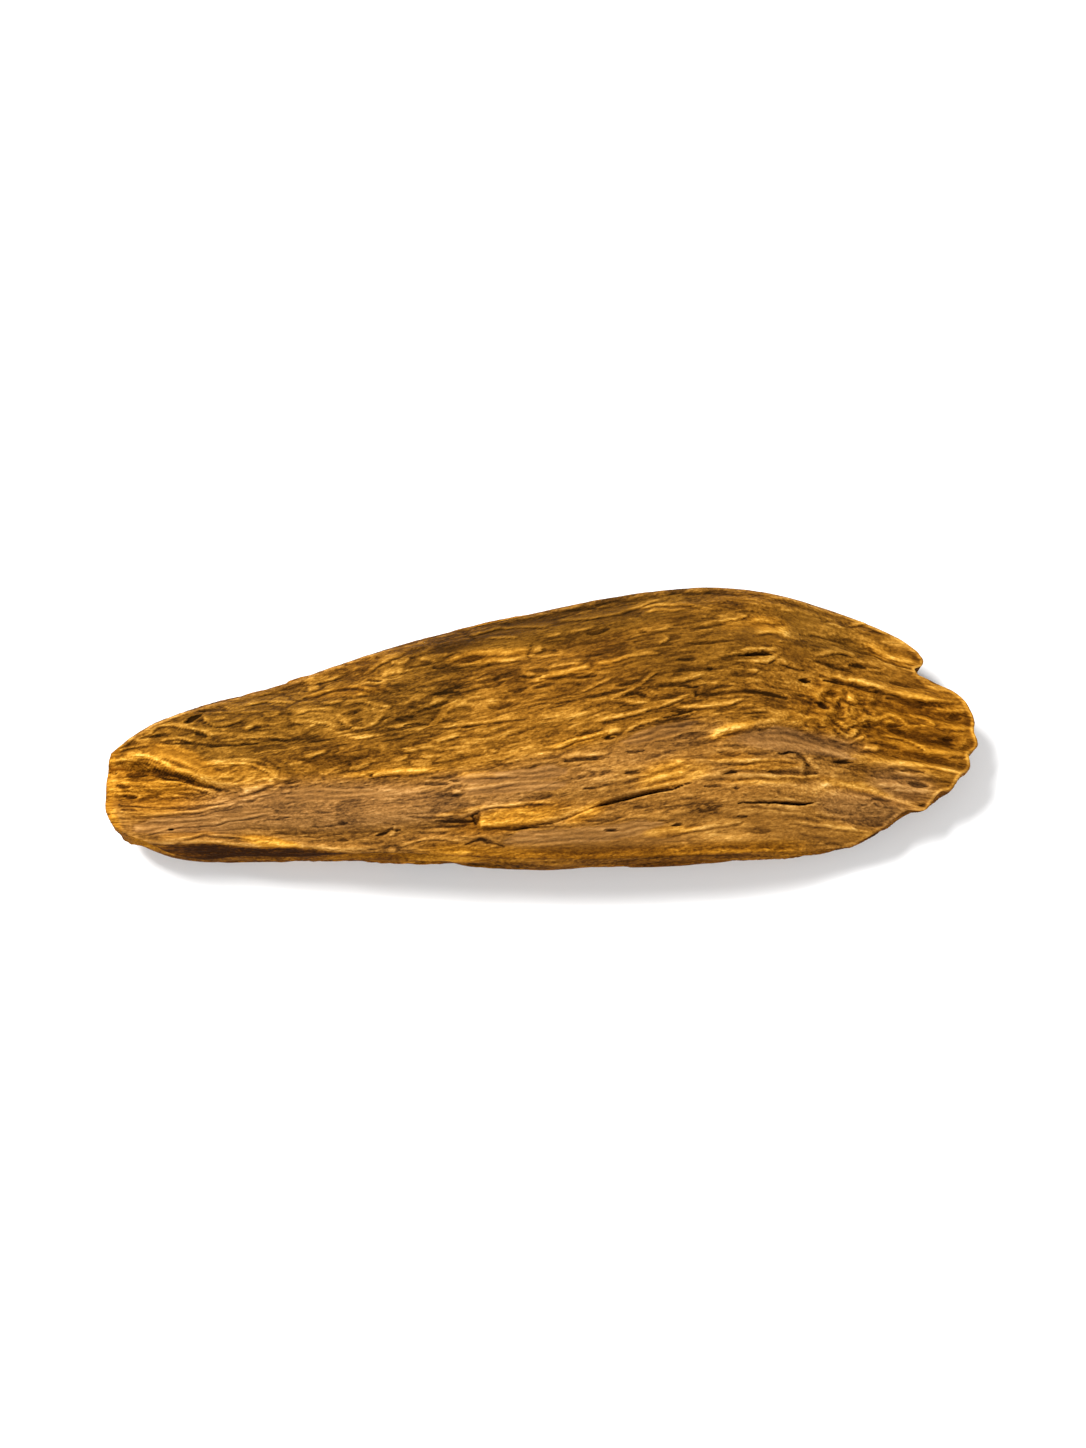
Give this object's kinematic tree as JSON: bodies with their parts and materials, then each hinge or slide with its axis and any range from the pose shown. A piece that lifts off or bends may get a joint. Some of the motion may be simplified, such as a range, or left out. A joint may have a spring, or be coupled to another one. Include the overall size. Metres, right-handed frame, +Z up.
{
  "type": "agarwood piece",
  "caption": "Gouge-carved chip of resinous agarwood, boat-shaped, with a scooped narrow end and a fluted, scalloped wide end, lying on its hewn underside.",
  "frame": {"origin": "middle of the footprint, on the flat resting face of the underside", "axes": "+X along the grain to the wide fluted end, +Y to the back edge, +Z up out of the carved top"},
  "size_m": [0.0599, 0.0194, 0.0097],
  "materials": {
    "agarwood": "bare gouge-cut wood, golden-brown fibres over dark resin, faint oily sheen"
  },
  "bodies": {
    "root": {"agarwood_piece": "agarwood"}
  },
  "joints": []
}
